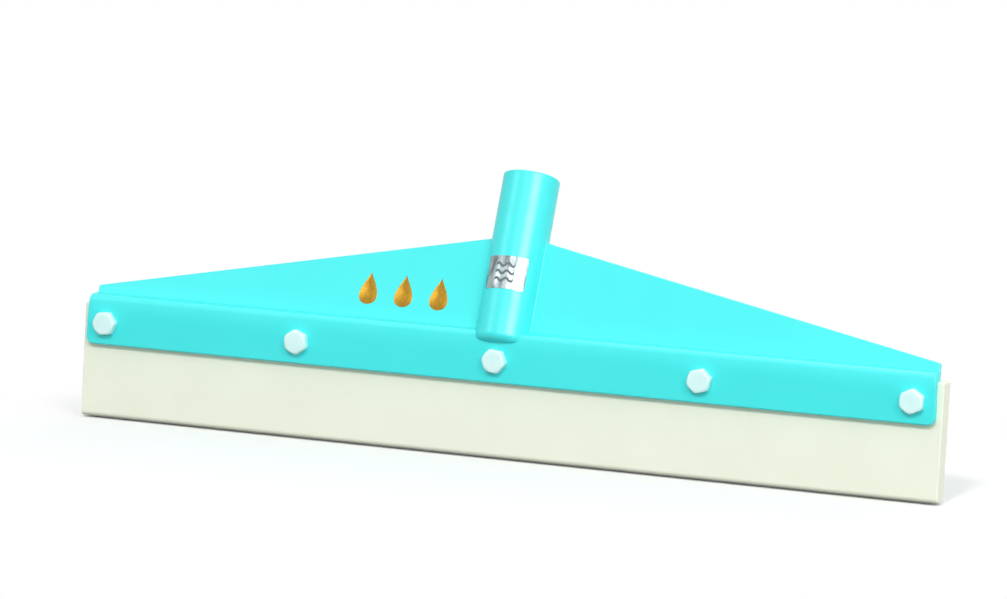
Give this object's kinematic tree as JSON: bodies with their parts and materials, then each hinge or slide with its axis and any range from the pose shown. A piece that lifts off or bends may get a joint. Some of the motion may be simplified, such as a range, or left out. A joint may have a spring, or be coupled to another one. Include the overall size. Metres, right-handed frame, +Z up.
{
  "type": "floor squeegee head",
  "caption": "Floor squeegee head: a leaning plastic plate with a handle socket and a front flange that holds a straight foam blade with plastic hex bolts.",
  "frame": {"origin": "middle of the foam blade's lower edge face, on the floor", "axes": "+X along the blade, +Y to the back, where the handle leans, +Z up the blade; -Y is the front with the bolt heads"},
  "size_m": [0.406, 0.0495, 0.1269],
  "materials": {
    "moulded_aqua": "glossy injection-moulded polypropylene, aqua",
    "foam": "matte closed-cell EVA foam, off-white, cut edges",
    "natural_nylon": "natural nylon, pale and slightly translucent",
    "foil": "bare metallised foil label"
  },
  "bodies": {
    "root": {"squeegee_head": "moulded_aqua", "foam_blade": "foam", "clamp_strip": "moulded_aqua", "foil_label": "foil", "hex_bolt_1": "natural_nylon", "hex_bolt_2": "natural_nylon", "hex_bolt_3": "natural_nylon", "hex_bolt_4": "natural_nylon", "hex_bolt_5": "natural_nylon", "hex_nut_1": "natural_nylon", "hex_nut_2": "natural_nylon", "hex_nut_3": "natural_nylon", "hex_nut_4": "natural_nylon", "hex_nut_5": "natural_nylon"}
  },
  "joints": []
}
